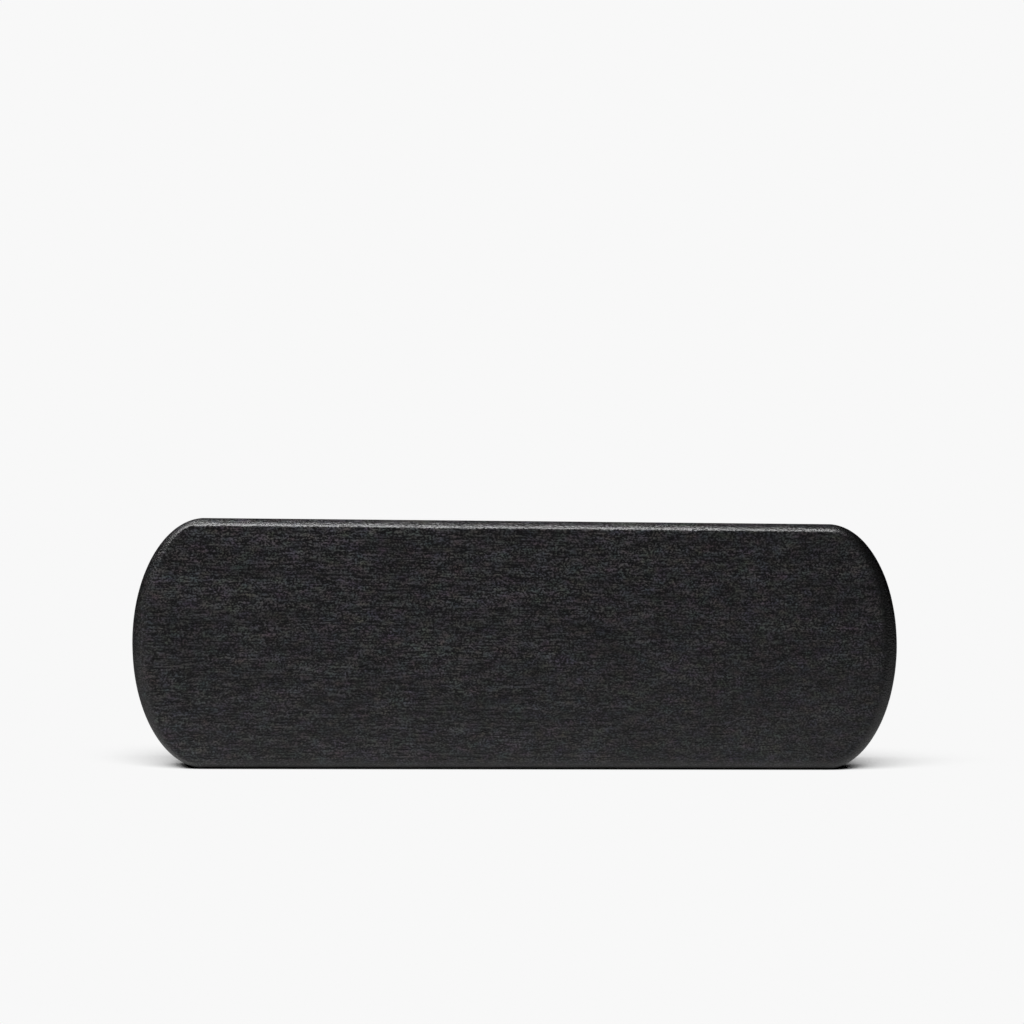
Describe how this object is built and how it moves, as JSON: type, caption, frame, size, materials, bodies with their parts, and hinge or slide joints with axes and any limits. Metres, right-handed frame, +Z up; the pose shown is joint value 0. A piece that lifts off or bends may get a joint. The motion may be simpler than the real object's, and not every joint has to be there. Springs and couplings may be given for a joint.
{
  "type": "shoe brush",
  "caption": "Shoe brush: a flat, round-ended hardwood block stained black, with staggered rows of dark hair tufts stapled into drilled holes and trimmed level.",
  "frame": {"origin": "middle of the footprint on the surface that the brush stands on, at the lower long edge of the block", "axes": "+X along the block's length, +Y from the back of the block towards the bristle tips, +Z up across the block's width"},
  "size_m": [0.171, 0.045, 0.055],
  "materials": {
    "stained_wood": "black stain, satin, grain showing",
    "hair": "dark brown-black horsehair, trimmed level",
    "staple_wire": "drawn steel wire"
  },
  "bodies": {
    "root": {"wood_block": "stained_wood", "tuft_row_1": "hair", "tuft_row_2": "hair", "tuft_row_3": "hair", "tuft_row_4": "hair", "staple_1_01": "staple_wire", "staple_1_02": "staple_wire", "staple_1_03": "staple_wire", "staple_1_04": "staple_wire", "staple_1_05": "staple_wire", "staple_1_06": "staple_wire", "staple_1_07": "staple_wire", "staple_1_08": "staple_wire", "staple_1_09": "staple_wire", "staple_1_10": "staple_wire", "staple_1_11": "staple_wire", "staple_1_12": "staple_wire", "staple_1_13": "staple_wire", "staple_2_01": "staple_wire", "staple_2_02": "staple_wire", "staple_2_03": "staple_wire", "staple_2_04": "staple_wire", "staple_2_05": "staple_wire", "staple_2_06": "staple_wire", "staple_2_07": "staple_wire", "staple_2_08": "staple_wire", "staple_2_09": "staple_wire", "staple_2_10": "staple_wire", "staple_2_11": "staple_wire", "staple_2_12": "staple_wire", "staple_2_13": "staple_wire", "staple_2_14": "staple_wire", "staple_3_01": "staple_wire", "staple_3_02": "staple_wire", "staple_3_03": "staple_wire", "staple_3_04": "staple_wire", "staple_3_05": "staple_wire", "staple_3_06": "staple_wire", "staple_3_07": "staple_wire", "staple_3_08": "staple_wire", "staple_3_09": "staple_wire", "staple_3_10": "staple_wire", "staple_3_11": "staple_wire", "staple_3_12": "staple_wire", "staple_3_13": "staple_wire", "staple_3_14": "staple_wire", "staple_4_01": "staple_wire", "staple_4_02": "staple_wire", "staple_4_03": "staple_wire", "staple_4_04": "staple_wire", "staple_4_05": "staple_wire", "staple_4_06": "staple_wire", "staple_4_07": "staple_wire", "staple_4_08": "staple_wire", "staple_4_09": "staple_wire", "staple_4_10": "staple_wire", "staple_4_11": "staple_wire", "staple_4_12": "staple_wire", "staple_4_13": "staple_wire"}
  },
  "joints": []
}
